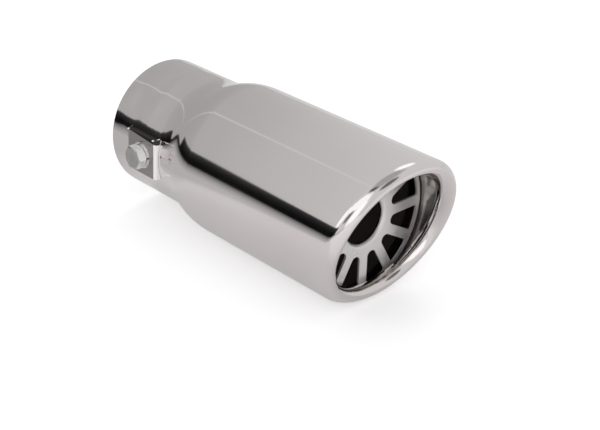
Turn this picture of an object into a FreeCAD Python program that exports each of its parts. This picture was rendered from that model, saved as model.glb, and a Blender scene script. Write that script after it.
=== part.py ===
# Exhaust tip: a curled, slash-cut sheet shell with a grille in its mouth and a screw clamp on its neck.
# Frame: X runs along the tube from the inlet rim to the mouth, Z is up, the origin is the centre of the inlet rim.
import FreeCAD, Part
import math
import os
import Sketcher

doc = FreeCAD.newDocument("ExhaustTip")
X_AXIS = FreeCAD.Vector(1, 0, 0)
Z_AXIS = FreeCAD.Vector(0, 0, 1)

# Driving dimensions, in millimetres and degrees
DRIVING = [
    ("neck_diameter", 63.0, "outside of the neck"),
    ("body_diameter", 72.5, "outside of the body"),
    ("wall", 1.2, "sheet thickness of the shell"),
    ("neck_length", 34.5, "inlet rim to the start of the flare"),
    ("flare_length", 26.5, "length of the S-shaped flare"),
    ("mouth_place", 148.9, "inlet rim to the start of the rolled lip, on the axis"),
    ("slash_angle", 17.6, "slant of the mouth"),
    ("slash_turn", 8.6, "long side of the mouth, turned from the top to the far side"),
    ("lip_reach", 5.8, "rolled lip, start to crest"),
    ("lip_half_width", 3.9, "half the width of the rolled lip across the tube"),
    ("lip_crest", 2.2, "outside bend radius at the crest of the lip"),
    ("lip_return", 1.8, "outside bend radius of the turned-back sheet edge"),
    ("strap_start", 12.6, "inlet rim to the rear root of the strap"),
    ("strap_length", 23.8, "strap, root to root"),
    ("strap_width", 19.4, "strap, slit to slit"),
    ("strap_rise", 1.5, "flat of the strap above the crown of the neck"),
    ("strap_lean", 1.4, "lean of each ramp of the strap"),
    ("strap_bend", 1.5, "outside bend radius of the strap"),
    ("slit_width", 0.15, "sheared slit on each side of the strap"),
    ("clamp_turn", 86.2, "clamp, turned from the top to the near side"),
    ("clamp_offset", 1.3, "clamp screw in front of the middle of the strap"),
    ("screw_diameter", 6.0, "thread of the clamp screw"),
    ("tip_chamfer", 0.8, "chamfer on the tip of the screw"),
    ("across_flats", 10.0, "hexagon of the head"),
    ("head_height", 4.0, "height of the screw head"),
    ("head_chamfer", 0.6, "height of the turned chamfer on hexagon corners"),
    ("plate_length", 17.0, "threaded plate under the strap, along the tube"),
    ("plate_side_room", 0.3, "edge of the strap to the side of the plate"),
    ("bore_room", 0.05, "plate and screw tip outside the bore"),
    ("hole_clearance", 0.3, "radial room round the screw in the strap"),
    ("washer_clearance", 0.2, "radial room round the screw in the washers"),
    ("thread_clearance", 0.05, "radial room between the screw and its thread"),
    ("spring_washer_diameter", 10.6, "outside of the spring washer"),
    ("spring_washer_height", 1.3, "height of the spring washer"),
    ("spring_washer_split", 0.9, "split of the spring washer"),
    ("split_slant", 22.0, "slant of the split"),
    ("flat_washer_diameter", 12.4, "outside of the flat washer"),
    ("flat_washer_height", 1.0, "height of the flat washer"),
    ("grille_room", 0.1, "grille face to the sheet edge of the lip at the short side"),
    ("grille_sheet", 1.0, "sheet thickness of the grille"),
    ("grille_clearance", 0.1, "radial room between grille and shell"),
    ("grille_bend", 1.8, "outside bend radius of the grille"),
    ("rim_flange", 7.0, "depth of the rim flange of the grille"),
    ("hub_flange", 2.4, "depth of the plunged centre hole"),
    ("hub_diameter", 22.0, "clear diameter of the centre hole"),
    ("slot_count", 12, "slots round the grille"),
    ("slot_turn", 13.2, "middle of a slot, turned from the far side to the top"),
    ("spoke_width", 4.6, "width of each spoke"),
    ("slot_inner", 16.2, "axis to the rounded inner end of a slot"),
    ("rim_width", 3.0, "ring left outside the slots"),
    ("slot_corner", 1.0, "radius of the outer corners of a slot"),
]

# Sizes that follow from the driving ones
DERIVED = [
    ("inlet", "0 * wall"),
    ("neck_radius", "neck_diameter / 2"),
    ("bore_radius", "neck_radius - wall"),
    ("body_radius", "body_diameter / 2"),
    ("inner_radius", "body_radius - wall"),
    ("flare_pitch", "(body_radius - neck_radius) / flare_length"),
    ("flare_sine", "2 * flare_pitch / (1 + flare_pitch * flare_pitch)"),
    ("flare_cosine", "(1 - flare_pitch * flare_pitch) / (1 + flare_pitch * flare_pitch)"),
    ("flare_arc", "flare_length / 2 / flare_sine"),
    ("flare_arc_wide", "flare_arc + wall"),
    ("flare_arc_tight", "flare_arc - wall"),
    ("flare_middle", "neck_length + flare_length / 2"),
    ("flare_middle_radius", "(neck_radius + body_radius) / 2"),
    ("flare_inside", "flare_middle + wall * flare_sine"),
    ("flare_inside_radius", "flare_middle_radius - wall * flare_cosine"),
    ("flare_end", "neck_length + flare_length"),
    ("slash_slope", "tan(slash_angle)"),
    ("tube_end", "mouth_place + body_diameter * slash_slope"),
    ("lip_side", "((lip_reach - lip_crest)^2 + lip_half_width^2 - lip_crest^2) / (2 * (lip_half_width - lip_crest))"),
    ("lip_middle", "body_radius - lip_half_width"),
    ("lip_bottom", "lip_middle - lip_half_width"),
    ("lip_turn_x", "(lip_reach - lip_crest) / (lip_side - lip_crest)"),
    ("lip_turn_y", "(lip_side - lip_half_width) / (lip_side - lip_crest)"),
    ("lip_front", "mouth_place + lip_side * lip_turn_x"),
    ("lip_upper", "body_radius - lip_side + lip_side * lip_turn_y"),
    ("lip_lower", "lip_bottom + lip_side - lip_side * lip_turn_y"),
    ("lip_side_inside", "lip_side - wall"),
    ("lip_crest_inside", "lip_crest - wall"),
    ("lip_front_inside", "mouth_place + lip_side_inside * lip_turn_x"),
    ("lip_upper_inside", "body_radius - lip_side + lip_side_inside * lip_turn_y"),
    ("lip_lower_inside", "lip_bottom + lip_side - lip_side_inside * lip_turn_y"),
    ("lip_bottom_inside", "lip_bottom + wall"),
    ("lip_return_inside", "lip_return - wall"),
    ("lip_edge", "mouth_place - lip_return"),
    ("lip_edge_inside", "mouth_place - lip_return_inside"),
    ("lip_edge_radius", "lip_bottom + lip_return"),
    ("strap_top", "neck_radius + strap_rise"),
    ("strap_under", "strap_top - wall"),
    ("strap_root", "sqrt(bore_radius * bore_radius - strap_width * strap_width / 4) - wall"),
    ("strap_half", "strap_length / 2"),
    ("ramp_height", "strap_top - strap_root"),
    ("ramp_slope", "sqrt(strap_lean * strap_lean + ramp_height * ramp_height)"),
    ("ramp_sine", "ramp_height / ramp_slope"),
    ("ramp_cosine", "strap_lean / ramp_slope"),
    ("strap_bend_inside", "strap_bend - wall"),
    ("strap_flat_half", "strap_half - strap_lean - strap_bend * ramp_sine / (1 + ramp_cosine)"),
    ("ramp_top_x", "strap_flat_half + strap_bend * ramp_sine"),
    ("ramp_top_z", "strap_top - strap_bend + strap_bend * ramp_cosine"),
    ("ramp_under_x", "strap_flat_half + strap_bend_inside * ramp_sine"),
    ("ramp_under_z", "strap_top - strap_bend + strap_bend_inside * ramp_cosine"),
    ("root_inside_x", "strap_half - wall / ramp_sine"),
    ("strap_middle", "strap_start + strap_half"),
    ("clamp_place", "strap_middle + clamp_offset"),
    ("screw_radius", "screw_diameter / 2"),
    ("washer_hole", "screw_radius + washer_clearance"),
    ("thread_hole", "screw_radius + thread_clearance"),
    ("spring_seat", "strap_top + flat_washer_height"),
    ("head_seat", "spring_seat + spring_washer_height"),
    ("head_top", "head_seat + head_height"),
    ("head_shoulder", "head_top - head_chamfer"),
    ("corner_radius", "across_flats / sqrt(3)"),
    ("face_radius", "across_flats * 0.475"),
    ("tip_end", "bore_radius + bore_room"),
    ("tip_shoulder", "tip_end + tip_chamfer"),
    ("tip_radius", "screw_radius - tip_chamfer"),
    ("plate_thickness", "strap_under - bore_radius - bore_room"),
    ("plate_half", "plate_length / 2"),
    ("plate_width", "strap_width - 2 * plate_side_room"),
    ("spring_radius", "spring_washer_diameter / 2"),
    ("washer_radius", "flat_washer_diameter / 2"),
    ("grille_face", "lip_edge - slash_slope * lip_edge_radius - grille_room"),
    ("grille_back", "grille_face - grille_sheet"),
    ("grille_bend_inside", "grille_bend - grille_sheet"),
    ("grille_bend_place", "grille_face - grille_bend"),
    ("grille_radius", "inner_radius - grille_clearance"),
    ("rim_inside", "grille_radius - grille_sheet"),
    ("rim_bend_radius", "grille_radius - grille_bend"),
    ("rim_flange_end", "grille_face - rim_flange"),
    ("hub_radius", "hub_diameter / 2"),
    ("hub_outside", "hub_radius + grille_sheet"),
    ("hub_bend_radius", "hub_radius + grille_bend"),
    ("hub_flange_end", "grille_face - hub_flange"),
    ("pitch_sine", "sin(180 / slot_count)"),
    ("pitch_cosine", "cos(180 / slot_count)"),
    ("slot_arc_centre", "(slot_inner - spoke_width / 2) / (1 - pitch_sine)"),
    ("slot_arc", "slot_arc_centre - slot_inner"),
    ("slot_side_x", "slot_arc_centre - slot_arc * pitch_sine"),
    ("slot_side_y", "slot_arc * pitch_cosine"),
    ("slot_outer", "grille_radius - rim_width"),
    ("corner_reach", "slot_outer - slot_corner"),
    ("corner_offset", "(spoke_width / 2 + slot_corner) / corner_reach"),
    ("corner_along", "sqrt(1 - corner_offset * corner_offset)"),
    ("corner_cosine", "pitch_cosine * corner_along + pitch_sine * corner_offset"),
    ("corner_sine", "pitch_sine * corner_along - pitch_cosine * corner_offset"),
    ("slot_corner_x", "corner_reach * corner_cosine - slot_corner * pitch_sine"),
    ("slot_corner_y", "corner_reach * corner_sine + slot_corner * pitch_cosine"),
    ("slot_outer_x", "slot_outer * corner_cosine"),
    ("slot_outer_y", "slot_outer * corner_sine"),
]

sheet = doc.addObject("Spreadsheet::Sheet", "sizes")
row = 0
for alias, value, meaning in DRIVING:
    row += 1
    sheet.set("A%d" % row, meaning)
    sheet.set("B%d" % row, str(value))
    sheet.setAlias("B%d" % row, alias)
for alias, formula in DERIVED:
    row += 1
    sheet.set("A%d" % row, alias.replace("_", " "))
    sheet.set("B%d" % row, "=" + formula)
    sheet.setAlias("B%d" % row, alias)
doc.recompute()
size = {entry[0]: float(sheet.get(entry[0])) for entry in DRIVING + DERIVED}


def read(term):
    """The value of a size, negative when its name has a minus sign in front."""
    if term.startswith("-"):
        return -size[term[1:]]
    return size[term]


def expression(term):
    if term.startswith("-"):
        return "-sizes." + term[1:]
    return "sizes." + term


def bind(sketch, constraint, name, term):
    """Add a dimension to a sketch and tie it to the sheet."""
    sketch.renameConstraint(sketch.addConstraint(constraint), name)
    sketch.setExpression("Constraints." + name, expression(term))


def origin_feature(body, role):
    return [item for item in body.Origin.OriginFeatures if item.Role == role][0]


def start_sketch(body, name, plane):
    sketch = body.newObject("Sketcher::SketchObject", name)
    sketch.AttachmentSupport = [(origin_feature(body, plane), "")]
    sketch.MapMode = "FlatFace"
    return sketch


def arc_between(start, end, radius, side):
    """The short arc from start to end, its centre on the left (side 1) or on the right (side -1)."""
    chord = end - start
    height = math.sqrt(radius ** 2 - (chord.Length / 2) ** 2)
    left = FreeCAD.Vector(-chord.y, chord.x, 0).normalize()
    centre = (start + end) / 2 + left * (side * height)
    angles = [math.atan2(corner.y - centre.y, corner.x - centre.x) for corner in (start, end)]
    if side < 0:
        angles.reverse()
    return Part.ArcOfCircle(Part.Circle(centre, Z_AXIS, radius), angles[0], angles[1])


def outline(sketch, corners):
    """Draw a closed outline. A corner is (x, y) or, with an arc to the next corner, (x, y, radius, side)."""
    places = [FreeCAD.Vector(read(corner[0]), read(corner[1]), 0) for corner in corners]
    ids = []
    ends = []
    for k, corner in enumerate(corners):
        following = places[(k + 1) % len(corners)]
        if len(corner) == 2:
            ids.append(sketch.addGeometry(Part.LineSegment(places[k], following), False))
            ends.append((1, 2))
        else:
            ids.append(sketch.addGeometry(arc_between(places[k], following, read(corner[2]), corner[3]), False))
            ends.append((1, 2) if corner[3] > 0 else (2, 1))
    for k in range(len(ids)):
        after = (k + 1) % len(ids)
        sketch.addConstraint(Sketcher.Constraint("Coincident", ids[k], ends[k][1], ids[after], ends[after][0]))
    for k, corner in enumerate(corners):
        name = sketch.Name + "%d" % k
        across = Sketcher.Constraint("DistanceX", ids[k], ends[k][0], places[k].x)
        upward = Sketcher.Constraint("DistanceY", ids[k], ends[k][0], places[k].y)
        bind(sketch, across, name + "x", corner[0])
        bind(sketch, upward, name + "y", corner[1])
        if len(corner) == 4:
            bind(sketch, Sketcher.Constraint("Radius", ids[k], read(corner[2])), name + "r", corner[2])


def revolved(name, plane, axis, corners):
    """A body turned from one closed outline about an axis of its sketch."""
    body = doc.addObject("PartDesign::Body", name)
    sketch = start_sketch(body, name + "Profile", plane)
    outline(sketch, corners)
    turned = body.newObject("PartDesign::Revolution", name + "Turned")
    turned.Profile = sketch
    turned.ReferenceAxis = (sketch, [axis])
    turned.Angle = 360
    doc.recompute()
    return body


def combined(kind, name, base, tool):
    result = doc.addObject(kind, name)
    result.Base = base
    result.Tool = tool
    return result


# Tube: neck, flare of two equal tangent arcs, body
tube = revolved("Tube", "XY_Plane", "H_Axis", [
    ("inlet", "neck_radius"),
    ("neck_length", "neck_radius", "flare_arc", 1),
    ("flare_middle", "flare_middle_radius", "flare_arc", -1),
    ("flare_end", "body_radius"),
    ("tube_end", "body_radius"),
    ("tube_end", "inner_radius"),
    ("flare_end", "inner_radius", "flare_arc_tight", 1),
    ("flare_inside", "flare_inside_radius", "flare_arc_wide", -1),
    ("neck_length", "bore_radius"),
    ("inlet", "bore_radius"),
])

# Mouth: the sheet rolled inwards into a round lip
mouth = revolved("Mouth", "XY_Plane", "H_Axis", [
    ("mouth_place", "body_radius", "lip_side", -1),
    ("lip_front", "lip_upper", "lip_crest", -1),
    ("lip_front", "lip_lower", "lip_side", -1),
    ("mouth_place", "lip_bottom", "lip_return", -1),
    ("lip_edge", "lip_edge_radius"),
    ("lip_edge_inside", "lip_edge_radius", "lip_return_inside", 1),
    ("mouth_place", "lip_bottom_inside", "lip_side_inside", 1),
    ("lip_front_inside", "lip_lower_inside", "lip_crest_inside", 1),
    ("lip_front_inside", "lip_upper_inside", "lip_side_inside", 1),
    ("mouth_place", "inner_radius"),
])

# Strap: bent sheet, drawn about the middle of its length and padded across its width
strap = doc.addObject("PartDesign::Body", "Strap")
strap_profile = start_sketch(strap, "StrapProfile", "XZ_Plane")
outline(strap_profile, [
    ("-strap_half", "strap_root"),
    ("-root_inside_x", "strap_root"),
    ("-ramp_under_x", "ramp_under_z", "strap_bend_inside", -1),
    ("-strap_flat_half", "strap_under"),
    ("strap_flat_half", "strap_under", "strap_bend_inside", -1),
    ("ramp_under_x", "ramp_under_z"),
    ("root_inside_x", "strap_root"),
    ("strap_half", "strap_root"),
    ("ramp_top_x", "ramp_top_z", "strap_bend", 1),
    ("strap_flat_half", "strap_top"),
    ("-strap_flat_half", "strap_top", "strap_bend", 1),
    ("-ramp_top_x", "ramp_top_z"),
])
strap_pad = strap.newObject("PartDesign::Pad", "StrapPad")
strap_pad.Profile = strap_profile
strap_pad.Midplane = True
strap_pad.setExpression("Length", "sizes.strap_width")
doc.recompute()

# Grille: stamped disc with a plunged centre hole, a bent rim and a ring of slots between spokes
grille = revolved("Grille", "XY_Plane", "H_Axis", [
    ("hub_flange_end", "hub_radius"),
    ("grille_bend_place", "hub_radius", "grille_bend", 1),
    ("grille_face", "hub_bend_radius"),
    ("grille_face", "rim_bend_radius", "grille_bend", 1),
    ("grille_bend_place", "grille_radius"),
    ("rim_flange_end", "grille_radius"),
    ("rim_flange_end", "rim_inside"),
    ("grille_bend_place", "rim_inside", "grille_bend_inside", -1),
    ("grille_back", "rim_bend_radius"),
    ("grille_back", "hub_bend_radius", "grille_bend_inside", -1),
    ("grille_bend_place", "hub_outside"),
    ("hub_flange_end", "hub_outside"),
])
slot_profile = start_sketch(grille, "SlotProfile", "YZ_Plane")
outline(slot_profile, [
    ("slot_side_x", "-slot_side_y"),
    ("slot_corner_x", "-slot_corner_y", "slot_corner", 1),
    ("slot_outer_x", "-slot_outer_y", "slot_outer", 1),
    ("slot_outer_x", "slot_outer_y", "slot_corner", 1),
    ("slot_corner_x", "slot_corner_y"),
    ("slot_side_x", "slot_side_y", "slot_arc", 1),
])
slot = grille.newObject("PartDesign::Pocket", "Slot")
slot.Profile = slot_profile
slot.Type = "ThroughAll"
slot.Midplane = True
slots = grille.newObject("PartDesign::PolarPattern", "Slots")
slots.Originals = [slot]
slots.Axis = (origin_feature(grille, "X_Axis"), [""])
slots.Angle = 360
slots.setExpression("Occurrences", "sizes.slot_count")
grille.Tip = slots
doc.recompute()

# Clamp screw: a turned and chamfered head crossed with its hexagon, on a shank
hexagon = doc.addObject("Part::Prism", "HeadHexagon")
hexagon.Polygon = 6
hexagon.setExpression("Circumradius", "sizes.corner_radius")
hexagon.setExpression("Height", "sizes.head_height")
hexagon.setExpression("Placement.Base.z", "sizes.head_seat")
head_turning = revolved("HeadTurning", "XZ_Plane", "V_Axis", [
    ("inlet", "head_seat"),
    ("corner_radius", "head_seat"),
    ("corner_radius", "head_shoulder"),
    ("face_radius", "head_top"),
    ("inlet", "head_top"),
])
shank = revolved("Shank", "XZ_Plane", "V_Axis", [
    ("inlet", "tip_end"),
    ("tip_radius", "tip_end"),
    ("screw_radius", "tip_shoulder"),
    ("screw_radius", "head_seat"),
    ("inlet", "head_seat"),
])
head = combined("Part::Common", "Head", hexagon, head_turning)
screw = combined("Part::Fuse", "Screw", head, shank)

# Threaded plate that fills the room between the strap and the bore
plate_block = doc.addObject("Part::Box", "PlateBlock")
plate_block.setExpression("Length", "sizes.plate_length")
plate_block.setExpression("Width", "sizes.plate_width")
plate_block.setExpression("Height", "sizes.plate_thickness")
plate_block.setExpression("Placement.Base.x", "-sizes.plate_half - sizes.clamp_offset")
plate_block.setExpression("Placement.Base.y", "-sizes.plate_width / 2")
plate_block.setExpression("Placement.Base.z", "sizes.strap_under - sizes.plate_thickness")
plate_thread = doc.addObject("Part::Cylinder", "PlateThread")
plate_thread.setExpression("Radius", "sizes.thread_hole")
plate_thread.setExpression("Height", "sizes.head_top")
plate = combined("Part::Cut", "Plate", plate_block, plate_thread)

# Washers
flat_washer = revolved("FlatWasher", "XZ_Plane", "V_Axis", [
    ("washer_hole", "strap_top"),
    ("washer_radius", "strap_top"),
    ("washer_radius", "spring_seat"),
    ("washer_hole", "spring_seat"),
])
spring_ring = revolved("SpringRing", "XZ_Plane", "V_Axis", [
    ("washer_hole", "spring_seat"),
    ("spring_radius", "spring_seat"),
    ("spring_radius", "head_seat"),
    ("washer_hole", "head_seat"),
])
doc.recompute()
split = Part.makeBox(size["spring_washer_diameter"], size["spring_washer_split"], size["spring_washer_diameter"])
split.translate(FreeCAD.Vector(0, -size["spring_washer_split"] / 2, -size["spring_radius"]))
split.rotate(FreeCAD.Vector(0, 0, 0), X_AXIS, size["split_slant"])
split.translate(FreeCAD.Vector(0, 0, (size["spring_seat"] + size["head_seat"]) / 2))

# Shell: the mouth is leaned over along the axis, the tube is cut to the same slant, the strap is let in
slope_far = size["slash_slope"] * math.sin(math.radians(size["slash_turn"]))
slope_up = size["slash_slope"] * math.cos(math.radians(size["slash_turn"]))
lean = FreeCAD.Matrix(1, slope_far, slope_up, 0, 0, 1, 0, 0, 0, 0, 1, 0, 0, 0, 0, 1)
leaned_mouth = mouth.Shape.transformGeometry(lean)
cut_place = FreeCAD.Vector(size["mouth_place"], 0, 0)
cut_normal = FreeCAD.Vector(1, -slope_far, -slope_up)
beyond = Part.makeCylinder(size["body_diameter"], size["tube_end"], cut_place, cut_normal)
cut_tube = tube.Shape.cut(beyond)

clamp_frame = FreeCAD.Placement(
    FreeCAD.Vector(size["clamp_place"], 0, 0), FreeCAD.Rotation(X_AXIS, size["clamp_turn"]))
strap_frame = FreeCAD.Placement(
    FreeCAD.Vector(size["strap_middle"], 0, 0), FreeCAD.Rotation(X_AXIS, size["clamp_turn"]))
window_length = size["strap_length"] - 2 * size["strap_lean"]
window_width = size["strap_width"] + 2 * size["slit_width"]
window = Part.makeBox(window_length, window_width, size["body_radius"])
window.translate(FreeCAD.Vector(-window_length / 2, -window_width / 2, 0))
window.Placement = strap_frame.multiply(window.Placement)
bore = Part.makeCylinder(size["bore_radius"], size["flare_end"], FreeCAD.Vector(0, 0, 0), X_AXIS)
screw_hole = Part.makeCylinder(size["screw_radius"] + size["hole_clearance"], size["strap_top"] * 2)
screw_hole.Placement = clamp_frame
set_strap = strap.Shape.copy()
set_strap.Placement = strap_frame
set_strap = set_strap.cut(bore).cut(screw_hole)
shell = cut_tube.cut(window).fuse([leaned_mouth, set_strap])

# Finished pieces, each in its place
PIECES = [
    ("tip_shell", shell, FreeCAD.Placement()),
    ("mouth_grille", grille.Shape, FreeCAD.Placement(FreeCAD.Vector(), FreeCAD.Rotation(X_AXIS, size["slot_turn"]))),
    ("clamp_screw", screw.Shape, clamp_frame),
    ("spring_washer", spring_ring.Shape.cut(split), clamp_frame),
    ("flat_washer", flat_washer.Shape, clamp_frame),
    ("clamp_plate", plate.Shape, clamp_frame),
]
os.makedirs("parts", exist_ok=True)
pieces = []
for node, shape, placement in PIECES:
    piece = doc.addObject("Part::Feature", node)
    piece.Shape = shape
    piece.Placement = placement
    piece.Label = node
    pieces.append(piece)
doc.recompute()

for item in doc.Objects:
    if "Invalid" in item.State or "Error" in item.State:
        raise RuntimeError("%s does not build" % item.Name)
for piece in pieces:
    if piece.Shape.isNull() or not piece.Shape.isValid() or len(piece.Shape.Solids) != 1:
        raise RuntimeError("%s is not one valid solid" % piece.Label)
for piece in pieces:
    piece.Shape.exportStep("parts/%s.step" % piece.Label)
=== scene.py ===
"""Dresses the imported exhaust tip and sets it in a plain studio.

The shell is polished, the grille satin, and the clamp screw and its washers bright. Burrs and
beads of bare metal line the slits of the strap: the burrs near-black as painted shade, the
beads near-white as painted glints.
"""

import math

import bpy
from bpy.props import FloatProperty, FloatVectorProperty, PointerProperty
from mathutils import Euler, Matrix, Vector


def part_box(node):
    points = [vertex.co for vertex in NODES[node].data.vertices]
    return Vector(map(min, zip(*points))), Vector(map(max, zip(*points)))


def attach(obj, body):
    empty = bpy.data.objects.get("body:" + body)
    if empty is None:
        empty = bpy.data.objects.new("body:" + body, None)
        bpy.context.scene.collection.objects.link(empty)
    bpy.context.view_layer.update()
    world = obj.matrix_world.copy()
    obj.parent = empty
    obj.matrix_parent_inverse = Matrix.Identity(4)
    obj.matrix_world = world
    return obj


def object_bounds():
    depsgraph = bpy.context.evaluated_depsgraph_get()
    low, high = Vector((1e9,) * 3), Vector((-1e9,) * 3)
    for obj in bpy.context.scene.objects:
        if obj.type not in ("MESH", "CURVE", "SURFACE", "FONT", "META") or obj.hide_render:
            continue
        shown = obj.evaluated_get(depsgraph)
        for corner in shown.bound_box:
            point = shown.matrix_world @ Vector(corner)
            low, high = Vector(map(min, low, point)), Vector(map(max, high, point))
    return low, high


bl_info = {
    "name": "Exhaust tip finish",
    "version": (1, 0, 0),
    "blender": (4, 5, 0),
    "location": "View3D > Sidebar > Exhaust tip",
    "description": "Polished steel exhaust tip with a grille and a screw clamp, in a plain studio",
    "category": "Object",
}

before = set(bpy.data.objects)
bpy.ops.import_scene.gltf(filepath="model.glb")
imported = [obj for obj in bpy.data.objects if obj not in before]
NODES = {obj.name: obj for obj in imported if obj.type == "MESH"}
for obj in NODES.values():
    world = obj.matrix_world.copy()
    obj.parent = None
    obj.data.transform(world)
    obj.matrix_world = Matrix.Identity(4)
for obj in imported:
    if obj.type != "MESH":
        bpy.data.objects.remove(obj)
CAD_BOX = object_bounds()
BODY = "root"
FLOOR_Z = CAD_BOX[0][2]
GRILLE_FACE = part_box("mouth_grille")[1][0]
GRILLE_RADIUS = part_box("mouth_grille")[1][2]

# Directions: to the dark card, to the open side past the mouth, and the clamp's own two
CARD_SIDE = (-0.67018, -0.74220, 0.0)
OPEN_SIDE = (0.951, -0.309, 0.0)
CLAMP_OUTWARD = (0.0, -0.998, 0.066)
CLAMP_UPWARD = (0.0, 0.066, 0.998)

WHITE = (1.0, 1.0, 1.0, 1.0)
BLACK = (0.0, 0.0, 0.0, 1.0)

# Noise patterns: scale, stretch along the three axes, detail
EVENLY = (1.0, 1.0, 1.0)
SHELL_CLOUDS = (14.0, EVENLY, 3.0)
POLISH_LINES = (60.0, (60.0, 2.0, 2.0), 2.0)
NECK_WAVES = (75.0, EVENLY, 1.0)
# Painted reflections: bright patches and dark bands on the mouth's inner wall, over its own streaky
# tone
WALL_REFLECTION_STREAKS = (110.0, (0.12, 1.0, 1.0), 3.0)
UNDER_STRAP_SHADE_CLOUDS = (200.0, EVENLY, 4.0)
SATIN_CLOUDS = (60.0, EVENLY, 3.0)
FASTENER_CLOUDS = (240.0, EVENLY, 3.0)
NOISE_SPAN = (0.3, 0.7)     # nearly all of a noise's values

# How much of each place is metal, and the roughness of the places that the polish doesn't reach
WALL_METAL = 0.7
# Painted highlight: the strap's front root is mostly non-metal and near-white, so lamps light it
# bright
RAMP_HIGHLIGHT_METAL = 0.15
GRILLE_METAL = 0.55
HEAD_SIDE_METAL = 0.25
# Painted glints: the beads are mostly non-metal and brighter than the fasteners
BEAD_GLINT_METAL = 0.1
STRAP_ROUGHNESS = 0.3
WALL_ROUGHNESS = 0.17
INSIDE_ROUGHNESS = 0.6
HEAD_FACE_ROUGHNESS = 0.3
# Painted shade: near-black colour of the clamp plate and of the burrs in the strap's slits
UNDER_STRAP_SHADE_COLOUR = (0.05, 0.047, 0.045)
BEAD_GLINT_LEVEL = 1.2            # against the fasteners' colour

# Limits of the masks, in metres. A face's reach is its distance from the axis, negative where it
# looks toward the axis.
INWARD_REACH = -0.004
WALL_MARGIN = 0.001
SHEARED_SHARE = 0.6         # of the strap's radius, under which a face is a sheared edge
NECK_FADE = ((0.022, 1.0), (0.034, 0.0))
# Painted shade: the mouth's inner wall fades to the inside's dark colour toward its bottom
LOW_WALL_SHADE = ((0.002, 0.0), (0.010, 1.0))
HEAD_FACE_LOOK = 0.8        # least share of a normal that looks out of the clamp

# Beads: foot and top over the underside of the strap, and reach to both sides of its edge, as
# shares of half a bead's length
BEAD_FOOT = 0.0009
BEAD_TOP = 0.0020
BEAD_INWARD = 0.8
BEAD_OUTWARD = 0.6
BEAD_TAPER = (0.55, 0.6, 1.0)
BURR_TAPER = (0.99, 1.0, 1.0)
SMOOTH_ANGLE = math.radians(40.0)
STRAIGHT_LOOK = 0.9         # least share of a normal that looks along an axis

# Windows of the surround that the steel mirrors: heading and height in degrees, half width and
# half height on the unit sphere, level
WINDOWS = (
    (-85.0, 45.0, 0.46, 0.27, 1.7),
    (-116.0, 25.0, 0.19, 0.28, 1.7),
    (-55.0, 15.0, 0.28, 0.40, 1.8),
    (-87.0, 22.0, 0.15, 0.17, 0.25),
    (-90.0, 69.0, 0.23, 0.09, 0.17),
    (-5.0, 48.0, 0.25, 0.24, 0.25),
    (120.0, 52.0, 0.22, 0.22, 1.8),
)
WINDOW_EDGE = (1.25, 0.75)  # outer and inner end of a window's soft edge

# Levels of the surround: toward the inlet, and overhead, each as (position, level)
INLET_LEVELS = ((0.0, 0.60), (0.2, 0.64), (0.29, 0.71), (0.34, 0.84), (0.40, 0.96), (0.6, 1.0))
OVERHEAD_LEVELS = ((0.86, 1.0), (0.95, 0.6))
SKY_COLOUR = (1.0, 0.995, 0.99, 1.0)

# Floor as mirrors see it, by distance in metres: painted shade fading toward the card, past the
# inlet and at the back, and painted light glowing ahead of the mouth and behind the tip
FLOOR_SIZE = 8.0
CARD_FADE = ((0.2, 1.0), (0.25, 0.86), (0.32, 0.75), (0.43, 0.6), (0.69, 0.35), (1.0, 0.25))
INLET_FADE_START = 0.008
INLET_FADE_END = 0.04
BACK_FADE = ((0.0, 0.0), (0.03, 1.0))
AHEAD_GLOW = ((0.135, 0.0), (0.195, 1.0))
BEHIND_GLOW = ((0.05, 0.0), (0.12, 0.8), (0.25, 0.6), (0.5, 0.3), (1.0, 0.1))

# Cards: glow from foot to top, and the ends and width of the seam overhead
DARK_CARD_GLOW = ((0.0, 0.002), (0.4, 0.01), (0.8, 0.035), (1.0, 0.11))
LOW_CARD_GLOW = ((0.0, 0.01), (1.0, 0.05))
SEAM_GLOW = ((0.0, 1.0), (1.0, 1.0))
SEAM_START = Vector((-6.0, -0.45, 1.0))
SEAM_END = Vector((-0.55, -0.14, 1.0))
SEAM_WIDTH = 0.03

# Lamps: name, side seen from the mouth, distance, size, level
MOUTH = Vector((0.15, 0.0, 0.0))
LAMPS = (
    ("left lamp", (-0.38, -0.70, 0.60), 1.2, 0.34, 2.2),
    ("back lamp", (-0.38, 0.68, 0.62), 1.2, 0.40, 2.4),
    ("near lamp", (0.50, -0.72, 0.42), 0.9, 0.55, 1.9),
)

CAMERA_PLACE = (0.46980, -0.34454, 0.26540)
CAMERA_RIGHT = Vector((0.67905, 0.73409, 0.0))
CAMERA_BACK = Vector((0.64348, -0.59523, 0.48130))
SENSOR_WIDTH = 36.0
CLIP_START = 0.01


# Sizes and colours that a user would change


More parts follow.
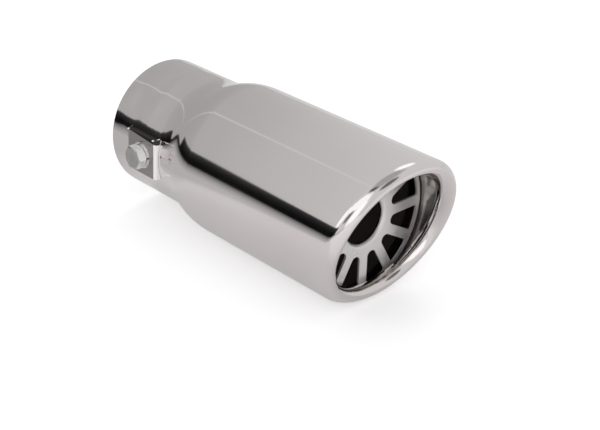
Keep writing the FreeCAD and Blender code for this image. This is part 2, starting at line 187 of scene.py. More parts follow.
class SteelSettings(bpy.types.PropertyGroup):
    """Finish of the polished shell"""

    colour: FloatVectorProperty(
        name="Steel colour", description="Colour of the polished steel",
        subtype="COLOR", size=4, min=0.0, max=1.0, default=(0.80, 0.757, 0.75, 1.0))
    roughness: FloatProperty(
        name="Roughness", description="How much the polish blurs what it mirrors",
        default=0.07, min=0.0, max=1.0)
    # Painted shade: the bore behind the grille gets this dark colour, partly a dull sheet and
    # partly the shade where little light reaches
    inside_shade_colour: FloatVectorProperty(
        name="Inside colour", description="Colour of the dull sheet behind the grille",
        subtype="COLOR", size=4, min=0.0, max=1.0, default=(0.20, 0.165, 0.17, 1.0))
    # The inner wall's colour is varied by painted reflection streaks
    rim_colour: FloatVectorProperty(
        name="Inner wall colour", description="Colour of the sheet's inside in front of the grille",
        subtype="COLOR", size=4, min=0.0, max=1.0, default=(0.56, 0.545, 0.51, 1.0))
    strap_colour: FloatVectorProperty(
        name="Strap colour",
        description="Colour of the pressed strap, which the polish doesn't reach",
        subtype="COLOR", size=4, min=0.0, max=1.0, default=(0.36, 0.345, 0.34, 1.0))
    strap_radius: FloatProperty(
        name="Strap radius",
        description="Distance from the axis past which the neck's sheet is strap",
        default=0.03172, min=0.0, unit="LENGTH")
    strap_end: FloatProperty(
        name="Strap end", description="Front end of the strap, from the inlet rim",
        default=0.0337, min=0.0, unit="LENGTH")
    # Painted highlight: near-white colour on the strap's front root
    ramp_highlight_colour: FloatVectorProperty(
        name="Ramp colour", description="Colour of the bright bend at the strap's front root",
        subtype="COLOR", size=4, min=0.0, max=1.0, default=(0.95, 0.94, 0.93, 1.0))
    ramp_end: FloatProperty(
        name="Ramp end", description="Front root of the strap, from the inlet rim",
        default=0.0366, min=0.0, unit="LENGTH")
    # Painted shade: the strap's sheared edges and its rolled upper edge are near-black, like the
    # dark slit
    edge_shade_colour: FloatVectorProperty(
        name="Sheared edge colour", description="Colour of the dull sheared edges of the strap",
        subtype="COLOR", size=4, min=0.0, max=1.0, default=(0.02, 0.019, 0.019, 1.0))
    roll_start: FloatProperty(
        name="Rolled edge start",
        description="From the middle of the strap to the dull rolled edge of its upper side",
        default=0.0105, min=0.0, unit="LENGTH")
    roll_slope: FloatProperty(
        name="Rolled edge slope", description="How fast the rolled edge widens toward the mouth",
        default=0.085, min=0.0)
    dents: FloatProperty(
        name="Neck waves",
        description="Height of the shallow waves that forming leaves in the neck",
        default=0.00035, min=0.0, unit="LENGTH")
    lines: FloatProperty(
        name="Polish lines",
        description="Height of the fine lines that polishing leaves round the tube",
        default=0.0000012, min=0.0, unit="LENGTH")


class GrilleSettings(bpy.types.PropertyGroup):
    """Finish of the stamped grille"""

    colour: FloatVectorProperty(
        name="Grille colour", description="Colour of the grille's sheet",
        subtype="COLOR", size=4, min=0.0, max=1.0, default=(0.82, 0.795, 0.785, 1.0))
    roughness: FloatProperty(
        name="Roughness", description="Satin finish of the grille", default=0.3, min=0.0, max=1.0)
    # Painted shade: the grille's sheet behind its face is dark
    back_shade_colour: FloatVectorProperty(
        name="Back colour", description="Colour of the dull sheet behind the grille's face",
        subtype="COLOR", size=4, min=0.0, max=1.0, default=(0.10, 0.085, 0.087, 1.0))
    finish_depth: FloatProperty(
        name="Finish depth", description="How far behind the face the satin finish ends",
        default=0.0016, min=0.0, unit="LENGTH")


class FastenerSettings(bpy.types.PropertyGroup):
    """Finish of the screw and its washers"""

    # The beads take this colour too, raised to a painted glint
    colour: FloatVectorProperty(
        name="Fastener colour", description="Colour of the washers and of the strap's beads",
        subtype="COLOR", size=4, min=0.0, max=1.0, default=(0.80, 0.78, 0.77, 1.0))
    roughness: FloatProperty(
        name="Roughness", description="Bright finish of the fasteners",
        default=0.15, min=0.0, max=1.0)
    face_colour: FloatVectorProperty(
        name="Head face colour", description="Colour of the dull upset face of the screw head",
        subtype="COLOR", size=4, min=0.0, max=1.0, default=(0.53, 0.53, 0.50, 1.0))
    side_colour: FloatVectorProperty(
        name="Head side colour", description="Colour of the bright trimmed sides of the screw head",
        subtype="COLOR", size=4, min=0.0, max=1.0, default=(0.92, 0.91, 0.90, 1.0))


class BurrSettings(bpy.types.PropertyGroup):
    """Sizes of the burrs along the strap's slits, and of the beads at the ends of the upper one"""

    turn: FloatProperty(
        name="Clamp turn", description="Clamp, turned from the top to the near side",
        default=math.radians(86.2), subtype="ANGLE")
    reach: FloatProperty(
        name="Burr reach", description="From the middle of the strap to the outside of its burr",
        default=0.00968, min=0.0, unit="LENGTH")
    top: FloatProperty(
        name="Burr top", description="Distance from the axis to the underside of the strap",
        default=0.0318, min=0.0, unit="LENGTH")
    depth: FloatProperty(
        name="Burr depth", description="How far the burr turns in",
        default=0.0029, min=0.0, unit="LENGTH")
    thickness: FloatProperty(
        name="Burr thickness", description="Thickness of the burr",
        default=0.00012, min=0.0, unit="LENGTH")
    start: FloatProperty(
        name="Burr start", description="Rear end of the burr, from the inlet rim",
        default=0.0152, min=0.0, unit="LENGTH")
    end: FloatProperty(
        name="Burr end", description="Front end of the burr, from the inlet rim",
        default=0.0338, min=0.0, unit="LENGTH")
    bead: FloatProperty(
        name="Bead length",
        description="Length of the bead of stretched metal at each end of the upper slit",
        default=0.0015, min=0.0, unit="LENGTH")


class StudioSettings(bpy.types.PropertyGroup):
    """Floor, cards, light and camera"""

    floor_colour: FloatVectorProperty(
        name="Floor colour", description="Colour of the pale floor",
        subtype="COLOR", size=4, min=0.0, max=1.0, default=(0.84, 0.84, 0.845, 1.0))
    floor_lift: FloatProperty(
        name="Floor lift",
        description="Glow that makes the unshaded floor as white as the background",
        default=0.40, min=0.0)
    mirror_level: FloatProperty(
        name="Mirror level", description="How bright the steel sees its surround",
        default=0.706, min=0.0)
    # Painted light and painted shade on the floor, seen only by mirrors
    open_glow: FloatProperty(
        name="Open floor glow",
        description="Glow, for mirrors, of the floor on the mouth's side and at the back",
        default=0.42, min=0.0)
    side_glow: FloatProperty(
        name="Near floor glow",
        description="Glow, for mirrors, of the floor on the card's side, as a share of the open's",
        default=0.62, min=0.0, max=1.0)
    inlet_level: FloatProperty(
        name="Inlet side level",
        description="Level, for mirrors, of the floor past the inlet, as a share of the rest",
        default=0.76, min=0.0, max=1.0)
    sky_strength: FloatProperty(
        name="Surround", description="Level of the even light from all round",
        default=0.72, min=0.0)
    lens: FloatProperty(
        name="Lens", description="Focal length of the camera",
        default=77.88, min=1.0, subtype="DISTANCE_CAMERA")
    shift_x: FloatProperty(
        name="Shift across", description="Shift of the view, as a share of the picture's width",
        default=-0.0014)
    shift_y: FloatProperty(
        name="Shift up", description="Shift of the view, as a share of the picture's width",
        default=0.0007)
    seam_glow: FloatProperty(
        name="Seam glow", description="Glow of the bright seam between two panels overhead",
        default=1.02, min=0.0)
    card_distance: FloatProperty(
        name="Dark card distance",
        description="From the tip to the dark card that the body mirrors",
        default=1.12, min=0.1, unit="LENGTH")
    card_width: FloatProperty(
        name="Dark card width", description="Width of the dark card",
        default=1.45, min=0.01, unit="LENGTH")
    low_card_width: FloatProperty(
        name="Low card width",
        description="Width of the low dark card beyond the inlet's side of the first",
        default=2.6, min=0.01, unit="LENGTH")
    low_card_height: FloatProperty(
        name="Low card height", description="Height of the low dark card over the floor",
        default=0.075, min=0.01, unit="LENGTH")
    card_shift: FloatProperty(
        name="Dark card shift", description="Dark card, moved toward the mouth's side",
        default=0.175, unit="LENGTH")
    card_height: FloatProperty(
        name="Dark card height", description="Height of the dark card over the floor",
        default=0.28, min=0.01, unit="LENGTH")


# Node helpers. A value that they take is another node's socket, or is the same all over.


def feed(tree, value, socket):
    """Lead another node's socket to this one, or set it to a number, colour or vector."""
    if isinstance(value, bpy.types.NodeSocket):
        tree.links.new(value, socket)
    else:
        socket.default_value = value


def cleared_tree(owner, output):
    """The node tree of a material or world, emptied, and the surface socket of its new output."""
    owner.use_nodes = True
    owner.node_tree.nodes.clear()
    return owner.node_tree, owner.node_tree.nodes.new(output).inputs["Surface"]


def fresh_material(name):
    """A material with nothing in it but its output and one main shader."""
    material = bpy.data.materials.new(name)
    tree, surface = cleared_tree(material, "ShaderNodeOutputMaterial")
    shader = tree.nodes.new("ShaderNodeBsdfPrincipled")
    tree.links.new(shader.outputs["BSDF"], surface)
    return material, tree, shader


def finish(tree, shader, metal, colour, roughness):
    """Give a main shader its three looks."""
    feed(tree, metal, shader.inputs["Metallic"])
    feed(tree, colour, shader.inputs["Base Color"])
    feed(tree, roughness, shader.inputs["Roughness"])


def relief(tree, shader, height):
    """Raise the look of a surface by a height in metres."""
    bump = tree.nodes.new("ShaderNodeBump")
    bump.inputs["Strength"].default_value = 1.0
    bump.inputs["Distance"].default_value = 1.0
    tree.links.new(height, bump.inputs["Height"])
    tree.links.new(bump.outputs["Normal"], shader.inputs["Normal"])


def maths(tree, operation, first, second):
    """One step of arithmetic on two values."""
    node = tree.nodes.new("ShaderNodeMath")
    node.operation = operation
    feed(tree, first, node.inputs[0])
    feed(tree, second, node.inputs[1])
    return node.outputs["Value"]


def plus(tree, first, second):
    """Two values added. Of two masks that don't meet, where either holds."""
    return maths(tree, "ADD", first, second)


def times(tree, first, second):
    """Two values multiplied. Of two masks, where both hold."""
    return maths(tree, "MULTIPLY", first, second)


def most(tree, first, second):
    """The greater of two values. Of two masks, where either holds."""
    return maths(tree, "MAXIMUM", first, second)


def under(tree, value, limit):
    """A mask where a value is under a limit."""
    return maths(tree, "LESS_THAN", value, limit)


def over(tree, value, limit):
    """A mask where a value is over a limit."""
    return maths(tree, "GREATER_THAN", value, limit)


def places(tree):
    """Where a point is and how it faces, in each of the ways that a texture knows."""
    return tree.nodes.new("ShaderNodeTexCoord").outputs


def parts(tree, vector):
    """The X, Y and Z of a vector."""
    node = tree.nodes.new("ShaderNodeSeparateXYZ")
    tree.links.new(vector, node.inputs["Vector"])
    return node.outputs


def along(tree, vector, direction):
    """How far a vector reaches in a direction."""
    node = tree.nodes.new("ShaderNodeVectorMath")
    node.operation = "DOT_PRODUCT"
    node.inputs[1].default_value = direction
    tree.links.new(vector, node.inputs[0])
    return node.outputs["Value"]


def object_noise(tree, pattern):
    """One of the noise patterns, on the object's own coordinates."""
    scale, stretch, detail = pattern
    mapping = tree.nodes.new("ShaderNodeMapping")
    mapping.inputs["Scale"].default_value = stretch
    noise = tree.nodes.new("ShaderNodeTexNoise")
    noise.inputs["Scale"].default_value = scale
    noise.inputs["Detail"].default_value = detail
    tree.links.new(places(tree)["Object"], mapping.inputs["Vector"])
    tree.links.new(mapping.outputs["Vector"], noise.inputs["Vector"])
    return noise.outputs["Fac"]


def spread(tree, value, low, high, span=NOISE_SPAN):
    """Carry a value over from one range to another."""
    node = tree.nodes.new("ShaderNodeMapRange")
    node.inputs["From Min"].default_value = span[0]
    node.inputs["From Max"].default_value = span[1]
    node.inputs["To Min"].default_value = low
    node.inputs["To Max"].default_value = high
    tree.links.new(value, node.inputs["Value"])
    return node.outputs["Result"]


def tint(tree, noise, colour, low, high):
    """Vary one colour in brightness with a noise, between two shares of it."""
    ramp = tree.nodes.new("ShaderNodeValToRGB")
    for stop, position, share in zip(ramp.color_ramp.elements, NOISE_SPAN, (low, high)):
        stop.position = position
        stop.color = [channel * share for channel in colour[:3]] + [1.0]
    tree.links.new(noise, ramp.inputs["Fac"])
    return ramp.outputs["Color"]


def levels_of(tree, value, stops):
    """A grey level for a value from 0 to 1, by (position, level) stops."""
    node = tree.nodes.new("ShaderNodeValToRGB")
    while len(node.color_ramp.elements) < len(stops):
        node.color_ramp.elements.new(0.5)
    for stop, (position, level) in zip(node.color_ramp.elements, stops):
        stop.position = position
        stop.color = (level, level, level, 1.0)
    tree.links.new(value, node.inputs["Fac"])
    return node.outputs["Color"]


def blend(tree, mask, first, second):
    """Go from one number or colour to another where the mask is 1."""
    node = tree.nodes.new("ShaderNodeMix")
    node.data_type = "FLOAT" if isinstance(second, (int, float)) else "RGBA"
    sockets = [item for item in node.inputs if item.enabled]
    for name, value in (("Factor", mask), ("A", first), ("B", second)):
        feed(tree, value, [item for item in sockets if item.name == name][0])
    return [item for item in node.outputs if item.enabled][0]


def plain_shader(tree, kind, colour, strength=None):
    """A shader of one colour, with a strength if it glows."""
    node = tree.nodes.new(kind)
    feed(tree, colour, node.inputs["Color"])
    if strength is not None:
        node.inputs["Strength"].default_value = strength
    return node.outputs[0]


def both_shaders(tree, first, second):
    """Two shaders added."""
    node = tree.nodes.new("ShaderNodeAddShader")
    tree.links.new(first, node.inputs[0])
    tree.links.new(second, node.inputs[1])
    return node.outputs["Shader"]


def by_ray(tree, ray, other, chosen):
    """The chosen shader for one kind of ray, and the other for the rest."""
    node = tree.nodes.new("ShaderNodeMixShader")
    path = tree.nodes.new("ShaderNodeLightPath")
    tree.links.new(path.outputs[ray], node.inputs["Fac"])
    tree.links.new(other, node.inputs[1])
    tree.links.new(chosen, node.inputs[2])
    return node.outputs["Shader"]


# Materials


def shell_masks(tree, settings):
    """Masks of the shell's places.

    inside is the bore behind the grille, which gets painted shade, wall the inner wall of the mouth
    and low wall its lower part, where the wall fades to painted shade. strap is the clamp's seat,
    ramp its front root, which gets a painted highlight, and edges are its sheared sides and its
    rolled upper one, which get painted shade. neck fades out before the flare.
    """
    place = places(tree)
    at = parts(tree, place["Object"])
    look = parts(tree, place["Normal"])
    reach = plus(tree, times(tree, at["Y"], look["Y"]), times(tree, at["Z"], look["Z"]))
    squares = plus(tree, times(tree, at["Y"], at["Y"]), times(tree, at["Z"], at["Z"]))
    raised = over(tree, maths(tree, "POWER", squares, 0.5), settings.strap_radius)
    strap = times(tree, raised, under(tree, at["X"], settings.strap_end))
    past_strap = times(tree, raised, over(tree, at["X"], settings.strap_end))
    ramp = times(tree, past_strap, under(tree, at["X"], settings.ramp_end))
    sheared = times(tree, strap, under(tree, reach, settings.strap_radius * SHEARED_SHARE))
    height = along(tree, place["Object"], CLAMP_UPWARD)
    widening = times(tree, at["X"], settings.roll_slope)
    rolled = over(tree, plus(tree, height, widening), settings.roll_start)
    return {
        "inside": times(
            tree, under(tree, reach, INWARD_REACH), under(tree, at["X"], GRILLE_FACE)),
        "wall": under(tree, reach, WALL_MARGIN - GRILLE_RADIUS),
        "low wall": levels_of(tree, times(tree, at["Z"], -1.0), LOW_WALL_SHADE),
        "strap": strap,
        "ramp": ramp,
        "edges": most(tree, sheared, times(tree, rolled, plus(tree, strap, ramp))),
        "neck": levels_of(tree, at["X"], NECK_FADE),
    }


def polished_steel(settings):
    """Polished sheet. The mouth's inner wall is streaked with painted reflections and has painted
    shade low down; the dull inside behind the grille has painted shade; the strap is dull, with a
    painted highlight on its front root and painted shade on its edges.
    """
    material, tree, shader = fresh_material("polished steel")
    masks = shell_masks(tree, settings)
    clouds = object_noise(tree, SHELL_CLOUDS)
    # Painted shade for the bore behind the grille, on a dull sheet
    inside_shade_colour = tuple(settings.inside_shade_colour)

    # Painted highlight on the strap's front root: little metal
    metal = blend(tree, masks["ramp"], 1.0, RAMP_HIGHLIGHT_METAL)
    metal = blend(tree, masks["wall"], metal, WALL_METAL)
    metal = blend(tree, masks["inside"], metal, 1.0)

    # Painted reflections: the inner wall's colour swings from dark bands to bright patches
    painted_reflection_streaks = object_noise(tree, WALL_REFLECTION_STREAKS)
    wall = tint(tree, painted_reflection_streaks, settings.rim_colour, low=0.2, high=1.75)
    # Painted shade: the inner wall darkens to the inside's colour low down
    wall = blend(tree, masks["low wall"], wall, inside_shade_colour)
    colour = tint(tree, clouds, settings.colour, low=0.97, high=1.02)
    colour = blend(tree, masks["strap"], colour, tuple(settings.strap_colour))
    # Painted highlight: the strap's front root is near-white
    colour = blend(tree, masks["ramp"], colour, tuple(settings.ramp_highlight_colour))
    # Painted shade: near-black on the strap's sheared and rolled edges
    colour = blend(tree, masks["edges"], colour, tuple(settings.edge_shade_colour))
    colour = blend(tree, masks["wall"], colour, wall)
    # Painted shade inside, behind the grille
    colour = blend(tree, masks["inside"], colour, inside_shade_colour)

    roughness = spread(
        tree, clouds, low=settings.roughness * 0.8, high=settings.roughness * 1.3)
    roughness = blend(tree, masks["strap"], roughness, STRAP_ROUGHNESS)
    roughness = blend(tree, masks["wall"], roughness, WALL_ROUGHNESS)
    roughness = blend(tree, masks["inside"], roughness, INSIDE_ROUGHNESS)
    finish(tree, shader, metal, colour, roughness)

    waves = times(tree, object_noise(tree, NECK_WAVES), masks["neck"])
    dents = times(tree, waves, settings.dents)
    grooves = times(tree, object_noise(tree, POLISH_LINES), settings.lines)
    relief(tree, shader, plus(tree, dents, grooves))
    return material


def satin_steel(settings):
    """Satin sheet on the grille's face; behind it a dull sheet with dark painted shade."""
    material, tree, shader = fresh_material("satin steel")
    clouds = object_noise(tree, SATIN_CLOUDS)
    at = parts(tree, places(tree)["Object"])
    # Painted shade behind the grille's face, on a dull sheet
    hidden = under(tree, at["X"], GRILLE_FACE - settings.finish_depth)
    metal = blend(tree, hidden, GRILLE_METAL, 1.0)
    colour = tint(tree, clouds, settings.colour, low=0.96, high=1.03)
    colour = blend(tree, hidden, colour, tuple(settings.back_shade_colour))
    roughness = spread(
        tree, clouds, low=settings.roughness * 0.85, high=settings.roughness * 1.2)
    finish(tree, shader, metal, colour, roughness)
    return material


def under_strap_shade_steel():
    """Near-black sheet, painted shade for what lies under the strap: the clamp plate and the burrs.
    """
    material, tree, shader = fresh_material("under strap shade steel")
    clouds = object_noise(tree, UNDER_STRAP_SHADE_CLOUDS)
    colour = tint(tree, clouds, UNDER_STRAP_SHADE_COLOUR, low=0.8, high=1.2)
    finish(tree, shader, 1.0, colour, spread(tree, clouds, low=0.5, high=0.7))
    return material


def fastener_roughness(tree, settings, clouds):
    """Bright finish of the fasteners, a little uneven."""
    return spread(tree, clouds, low=settings.roughness * 0.8, high=settings.roughness * 1.4)


def bright_steel(settings, name, metal, level):
    """Bright plain steel, with how much of it is metal and its level against the colour. On the
    beads, little metal and a high level make a painted glint.
    """
    material, tree, shader = fresh_material(name)
    clouds = object_noise(tree, FASTENER_CLOUDS)
    colour = tint(tree, clouds, settings.colour, low=0.94 * level, high=1.04 * level)
    finish(tree, shader, metal, colour, fastener_roughness(tree, settings, clouds))
    return material


def screw_steel(settings):
    """Dull upset face on the screw's head, and bright trimmed sides."""
    material, tree, shader = fresh_material("screw steel")
    clouds = object_noise(tree, FASTENER_CLOUDS)
    outward = along(tree, places(tree)["Normal"], CLAMP_OUTWARD)
    face = over(tree, outward, HEAD_FACE_LOOK)
    metal = blend(tree, face, HEAD_SIDE_METAL, 1.0)
    sides = tint(tree, clouds, settings.side_colour, low=0.94, high=1.04)
    dull = tint(tree, clouds, settings.face_colour, low=0.85, high=1.1)
    roughness = fastener_roughness(tree, settings, clouds)
    roughness = blend(tree, face, roughness, HEAD_FACE_ROUGHNESS)
    finish(tree, shader, metal, blend(tree, face, sides, dull), roughness)
    return material


def give(node_name, material):
    """Put a material on a CAD node."""
    item = NODES[node_name]
    item.data.materials.clear()
    item.data.materials.append(material)


# Modelling helpers


def box_at(name, low, high):
    """A box between two corners, alone in the selection."""
    bpy.ops.object.select_all(action="DESELECT")
    middle = [(a + b) / 2 for a, b in zip(low, high)]
    bpy.ops.mesh.primitive_cube_add(size=1.0, location=middle)
    piece = bpy.context.active_object
    piece.name = name
    piece.scale = [b - a for a, b in zip(low, high)]
    bpy.ops.object.transform_apply(location=True, rotation=False, scale=True)
    return piece


def narrow_face(piece, axis, sign, factors):
    """Resize the face that looks along one axis."""
    for face in piece.data.polygons:
        face.select = face.normal[axis] * sign > STRAIGHT_LOOK
    bpy.ops.object.mode_set(mode="EDIT")
    bpy.ops.mesh.select_mode(type="FACE")
    bpy.ops.transform.resize(value=factors)
    bpy.ops.object.mode_set(mode="OBJECT")


def soften(piece, width, segments):
    """Round a piece's edges and shade it smooth."""
    bevel = piece.modifiers.new("edges", "BEVEL")
    bevel.width = width
    bevel.segments = segments
    bpy.ops.object.modifier_apply(modifier=bevel.name)
    bpy.ops.object.shade_smooth_by_angle(angle=SMOOTH_ANGLE)


def turn_to_clamp(piece, turn):
    """Swing a piece from the top of the tube round to the clamp's side."""
    piece.rotation_euler = (turn, 0.0, 0.0)
    bpy.ops.object.transform_apply(location=False, rotation=True, scale=False)


# Stage


def flat_card(name, size, place, turn, stops, glow):
    """A rectangular card that only mirrors see. Its glow runs up its height by the stops."""
    bpy.ops.object.select_all(action="DESELECT")
    bpy.ops.mesh.primitive_plane_add(size=1.0, location=place, rotation=turn)
    card = bpy.context.active_object
    card.name = name
    card.scale = (*size, 1.0)
    material, tree, shader = fresh_material(name)
    shader.inputs["Base Color"].default_value = BLACK
    shader.inputs["Roughness"].default_value = 1.0
    shader.inputs["Specular IOR Level"].default_value = 0.0
    shader.inputs["Emission Strength"].default_value = glow
    height = plus(tree, parts(tree, places(tree)["Object"])["Y"], 0.5)
    tree.links.new(levels_of(tree, height, stops), shader.inputs["Emission Color"])
    card.data.materials.append(material)
    card.visible_camera = False


def standing_card(name, settings, size, shift, stops):
    """A dark card on the floor beyond the tip, moved toward the mouth's side."""
    toward = Vector(CARD_SIDE)
    place = toward * settings.card_distance + Vector((-toward.y, toward.x, 0.0)) * shift
    place.z = FLOOR_Z + size[1] / 2
    turn = toward.to_track_quat("-Z", "Y").to_euler()
    flat_card(name, size, place, turn, stops, settings.mirror_level)


def pale_floor(settings):
    """White where nothing shades it, darker in the tip's shadow.

    Mirrors see painted shade on it toward the card and past the inlet, and painted light glowing
    ahead and behind.
    """
    material = bpy.data.materials.new("pale floor")
    tree, surface = cleared_tree(material, "ShaderNodeOutputMaterial")
    place = places(tree)["Object"]
    at = parts(tree, place)
    paint = plain_shader(tree, "ShaderNodeBsdfDiffuse", settings.floor_colour)
    lift = plain_shader(tree, "ShaderNodeEmission", WHITE, settings.floor_lift)

    # Painted shade on the floor for mirrors: toward the card and past the inlet
    inlet_fade = ((INLET_FADE_START, 1.0), (INLET_FADE_END, settings.inlet_level))
    inlet_side = levels_of(tree, times(tree, at["X"], -1.0), inlet_fade)
    back = levels_of(tree, at["Y"], BACK_FADE)
    painted_floor_shade = levels_of(tree, along(tree, place, CARD_SIDE), CARD_FADE)
    painted_floor_shade = times(tree, painted_floor_shade, most(tree, inlet_side, back))
    mirror_colour = times(tree, painted_floor_shade, settings.floor_colour[0] * settings.mirror_level)
    faded = plain_shader(tree, "ShaderNodeBsdfDiffuse", mirror_colour)

    # Painted light on the floor for mirrors: glow ahead of the mouth, behind the tip and beside it
    ahead = levels_of(tree, along(tree, place, OPEN_SIDE), AHEAD_GLOW)
    behind = levels_of(tree, at["Y"], BEHIND_GLOW)
    beside = times(tree, painted_floor_shade, settings.side_glow)
    glow = plain_shader(
        tree, "ShaderNodeEmission", most(tree, most(tree, ahead, behind), beside),
        settings.open_glow * settings.mirror_level)

    mirrored = by_ray(tree, "Is Glossy Ray", paint, both_shaders(tree, faded, glow))
    seen = by_ray(tree, "Is Camera Ray", mirrored, both_shaders(tree, paint, lift))
    tree.links.new(seen, surface)
    return material


def soft_window(tree, direction, level, window):
    """Fade a surround's level to a window's own inside a soft-edged oval, seen from the tip."""
    heading, height, half_width, half_height, target = window
    turn = (0.0, -math.radians(height), math.radians(heading))
    oval = tree.nodes.new("ShaderNodeMapping")
    oval.vector_type = "TEXTURE"
    oval.inputs["Location"].default_value = Euler(turn).to_matrix() @ Vector((1.0, 0.0, 0.0))
    oval.inputs["Rotation"].default_value = turn
    oval.inputs["Scale"].default_value = (1.0, half_width, half_height)
    tree.links.new(direction, oval.inputs["Vector"])
    distance = tree.nodes.new("ShaderNodeVectorMath")
    distance.operation = "LENGTH"
    tree.links.new(oval.outputs["Vector"], distance.inputs[0])
    mask = tree.nodes.new("ShaderNodeMapRange")
    mask.interpolation_type = "SMOOTHSTEP"
    mask.inputs["From Min"].default_value = WINDOW_EDGE[0]
    mask.inputs["From Max"].default_value = WINDOW_EDGE[1]
    tree.links.new(distance.outputs["Value"], mask.inputs["Value"])
    return blend(tree, mask.outputs["Result"], level, target)


def even_surround(settings):
    """The world: even light, and for mirrors a pale surround with bright and dark windows."""
    world = bpy.data.worlds.new("studio")
    bpy.context.scene.world = world
    tree, surface = cleared_tree(world, "ShaderNodeOutputWorld")
    direction = places(tree)["Generated"]
    toward = parts(tree, direction)
    headway = spread(tree, toward["X"], low=0.0, high=1.0, span=(-1.0, 0.0))
    level = times(
        tree, levels_of(tree, headway, INLET_LEVELS),
        levels_of(tree, toward["Z"], OVERHEAD_LEVELS))
    for window in WINDOWS:
        level = soft_window(tree, direction, level, window)
    light = plain_shader(tree, "ShaderNodeBackground", SKY_COLOUR, settings.sky_strength)
    reflected = plain_shader(tree, "ShaderNodeBackground", level, settings.mirror_level)
    shown = plain_shader(tree, "ShaderNodeBackground", WHITE, 1.0)
    mirrored = by_ray(tree, "Is Glossy Ray", light, reflected)
    tree.links.new(by_ray(tree, "Is Camera Ray", mirrored, shown), surface)


def area_lamp(name, side, distance, size, level):
    """A square lamp that shines on the mouth from one side, as bright as a card of that level."""
    place = MOUTH + Vector(side).normalized() * distance
    bpy.ops.object.light_add(type="AREA", location=place)
    lamp = bpy.context.active_object
    lamp.name = name
    lamp.data.size = size
    lamp.data.energy = level * math.pi * size * size
    lamp.visible_glossy = False
    lamp.rotation_euler = (MOUTH - place).to_track_quat("-Z", "Y").to_euler()


def set_camera(settings):
    """The camera at the photograph's viewing angle."""
    axes = (CAMERA_RIGHT, CAMERA_BACK.cross(CAMERA_RIGHT), CAMERA_BACK)
    turn = Matrix(axes).transposed().to_4x4()
    bpy.ops.object.camera_add()
    camera = bpy.context.active_object
    camera.name = "camera"
    camera.matrix_world = Matrix.Translation(CAMERA_PLACE) @ turn
    camera.data.lens = settings.lens
    camera.data.sensor_width = SENSOR_WIDTH
    camera.data.shift_x = settings.shift_x
    camera.data.shift_y = settings.shift_y
    camera.data.clip_start = CLIP_START
    bpy.context.scene.camera = camera


# Operators


class TIP_OT_shell(bpy.types.Operator):
    """Polish the shell"""

    bl_idname = "exhaust_tip.shell"
    bl_label = "Polished shell"

    def execute(self, context):
        give("tip_shell", polished_steel(context.scene.tip_steel))
        return {"FINISHED"}


class TIP_OT_grille(bpy.types.Operator):
    """Give the grille its satin finish"""

    bl_idname = "exhaust_tip.grille"
    bl_label = "Satin grille"

    def execute(self, context):
        give("mouth_grille", satin_steel(context.scene.tip_grille))
        return {"FINISHED"}


class TIP_OT_fasteners(bpy.types.Operator):
    """Give the screw and its washers their finish, and the plate a near-black painted shade"""

    bl_idname = "exhaust_tip.fasteners"
    bl_label = "Clamp screw"

    def execute(self, context):
        bright = bright_steel(context.scene.tip_fastener, "bright steel", metal=1.0, level=1.0)
        for name in ("spring_washer", "flat_washer"):
            give(name, bright)
        give("clamp_screw", screw_steel(context.scene.tip_fastener))
        # The plate is near-black: painted shade seen through the slit
        give("clamp_plate", under_strap_shade_steel())
        return {"FINISHED"}


class TIP_OT_burrs(bpy.types.Operator):
    """Turn in the strap's sheared edges as near-black painted shade, and leave a bright bead with a
    painted glint at each end of the upper slit
    """

    bl_idname = "exhaust_tip.burrs"
    bl_label = "Strap burrs"

    def execute(self, context):
        settings = context.scene.tip_burr
        # The burrs are near-black: painted shade in the slits
        dull = under_strap_shade_steel()
        for name, side in (("upper_burr", 1.0), ("lower_burr", -1.0)):
            outer = side * settings.reach
            inner = side * (settings.reach - settings.thickness)
            piece = box_at(
                name, (settings.start, min(outer, inner), settings.top - settings.depth),
                (settings.end, max(outer, inner), settings.top))
            narrow_face(piece, axis=2, sign=-1.0, factors=BURR_TAPER)
            soften(piece, width=settings.thickness * 0.3, segments=2)
            turn_to_clamp(piece, settings.turn)
            piece.data.materials.append(dull)
            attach(piece, BODY)
        # Painted glints: the beads are near-white, with little metal
        bright = bright_steel(
            context.scene.tip_fastener, "bead glint steel", metal=BEAD_GLINT_METAL, level=BEAD_GLINT_LEVEL)
        half = settings.bead / 2
        for name, place in (("rear_bead", settings.start), ("front_bead", settings.end)):
            piece = box_at(
                name,
                (place - half, settings.reach - half * BEAD_INWARD, settings.top + BEAD_FOOT),
                (place + half, settings.reach + half * BEAD_OUTWARD, settings.top + BEAD_TOP))
            narrow_face(piece, axis=2, sign=1.0, factors=BEAD_TAPER)
            soften(piece, width=half * 0.35, segments=3)
            turn_to_clamp(piece, settings.turn)
            piece.data.materials.append(bright)
            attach(piece, BODY)
        return {"FINISHED"}


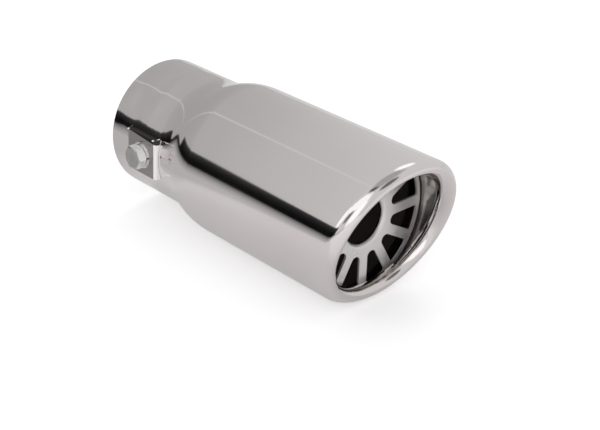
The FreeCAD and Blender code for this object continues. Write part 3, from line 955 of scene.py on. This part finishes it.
class TIP_OT_studio(bpy.types.Operator):
    """Set the floor, the cards, the lamps and the camera"""

    bl_idname = "exhaust_tip.studio"
    bl_label = "Studio"

    def execute(self, context):
        settings = context.scene.tip_studio
        bpy.ops.object.select_all(action="DESELECT")
        bpy.ops.mesh.primitive_plane_add(size=FLOOR_SIZE, location=(0.0, 0.0, FLOOR_Z))
        floor = context.active_object
        floor.name = "floor"
        floor.data.materials.append(pale_floor(settings))
        even_surround(settings)

        standing_card(
            "dark card", settings, (settings.card_width, settings.card_height),
            settings.card_shift, DARK_CARD_GLOW)
        beyond = settings.card_shift - settings.card_width / 2 - settings.low_card_width / 2
        standing_card(
            "low dark card", settings, (settings.low_card_width, settings.low_card_height),
            beyond, LOW_CARD_GLOW)
        run = SEAM_END - SEAM_START
        flat_card(
            "bright seam", (run.length, SEAM_WIDTH), (SEAM_START + SEAM_END) / 2,
            (0.0, 0.0, math.atan2(run.y, run.x)), SEAM_GLOW,
            settings.seam_glow * settings.mirror_level)

        for lamp in LAMPS:
            area_lamp(*lamp)
        set_camera(settings)
        context.scene.view_settings.view_transform = "Standard"
        return {"FINISHED"}


class TIP_PT_panel(bpy.types.Panel):
    """Lists the steps and their settings"""

    bl_idname = "TIP_PT_panel"
    bl_label = "Exhaust tip"
    bl_space_type = "VIEW_3D"
    bl_region_type = "UI"
    bl_category = "Exhaust tip"

    def draw(self, context):
        scene = context.scene
        for group, step in (
                (scene.tip_steel, TIP_OT_shell),
                (scene.tip_grille, TIP_OT_grille),
                (scene.tip_fastener, TIP_OT_fasteners),
                (scene.tip_burr, TIP_OT_burrs),
                (scene.tip_studio, TIP_OT_studio)):
            box = self.layout.box()
            for name in type(group).__annotations__:
                box.prop(group, name)
            box.operator(step.bl_idname)


CLASSES = (
    SteelSettings, GrilleSettings, FastenerSettings, BurrSettings, StudioSettings,
    TIP_OT_shell, TIP_OT_grille, TIP_OT_fasteners, TIP_OT_burrs, TIP_OT_studio, TIP_PT_panel,
)


def register():
    for item in CLASSES:
        bpy.utils.register_class(item)
    bpy.types.Scene.tip_steel = PointerProperty(type=SteelSettings)
    bpy.types.Scene.tip_grille = PointerProperty(type=GrilleSettings)
    bpy.types.Scene.tip_fastener = PointerProperty(type=FastenerSettings)
    bpy.types.Scene.tip_burr = PointerProperty(type=BurrSettings)
    bpy.types.Scene.tip_studio = PointerProperty(type=StudioSettings)


def unregister():
    del bpy.types.Scene.tip_steel
    del bpy.types.Scene.tip_grille
    del bpy.types.Scene.tip_fastener
    del bpy.types.Scene.tip_burr
    del bpy.types.Scene.tip_studio
    for item in reversed(CLASSES):
        bpy.utils.unregister_class(item)


def main():
    register()
    bpy.ops.exhaust_tip.shell()
    bpy.ops.exhaust_tip.grille()
    bpy.ops.exhaust_tip.fasteners()
    bpy.ops.exhaust_tip.burrs()
    bpy.ops.exhaust_tip.studio()


if __name__ == "__main__":
    main()
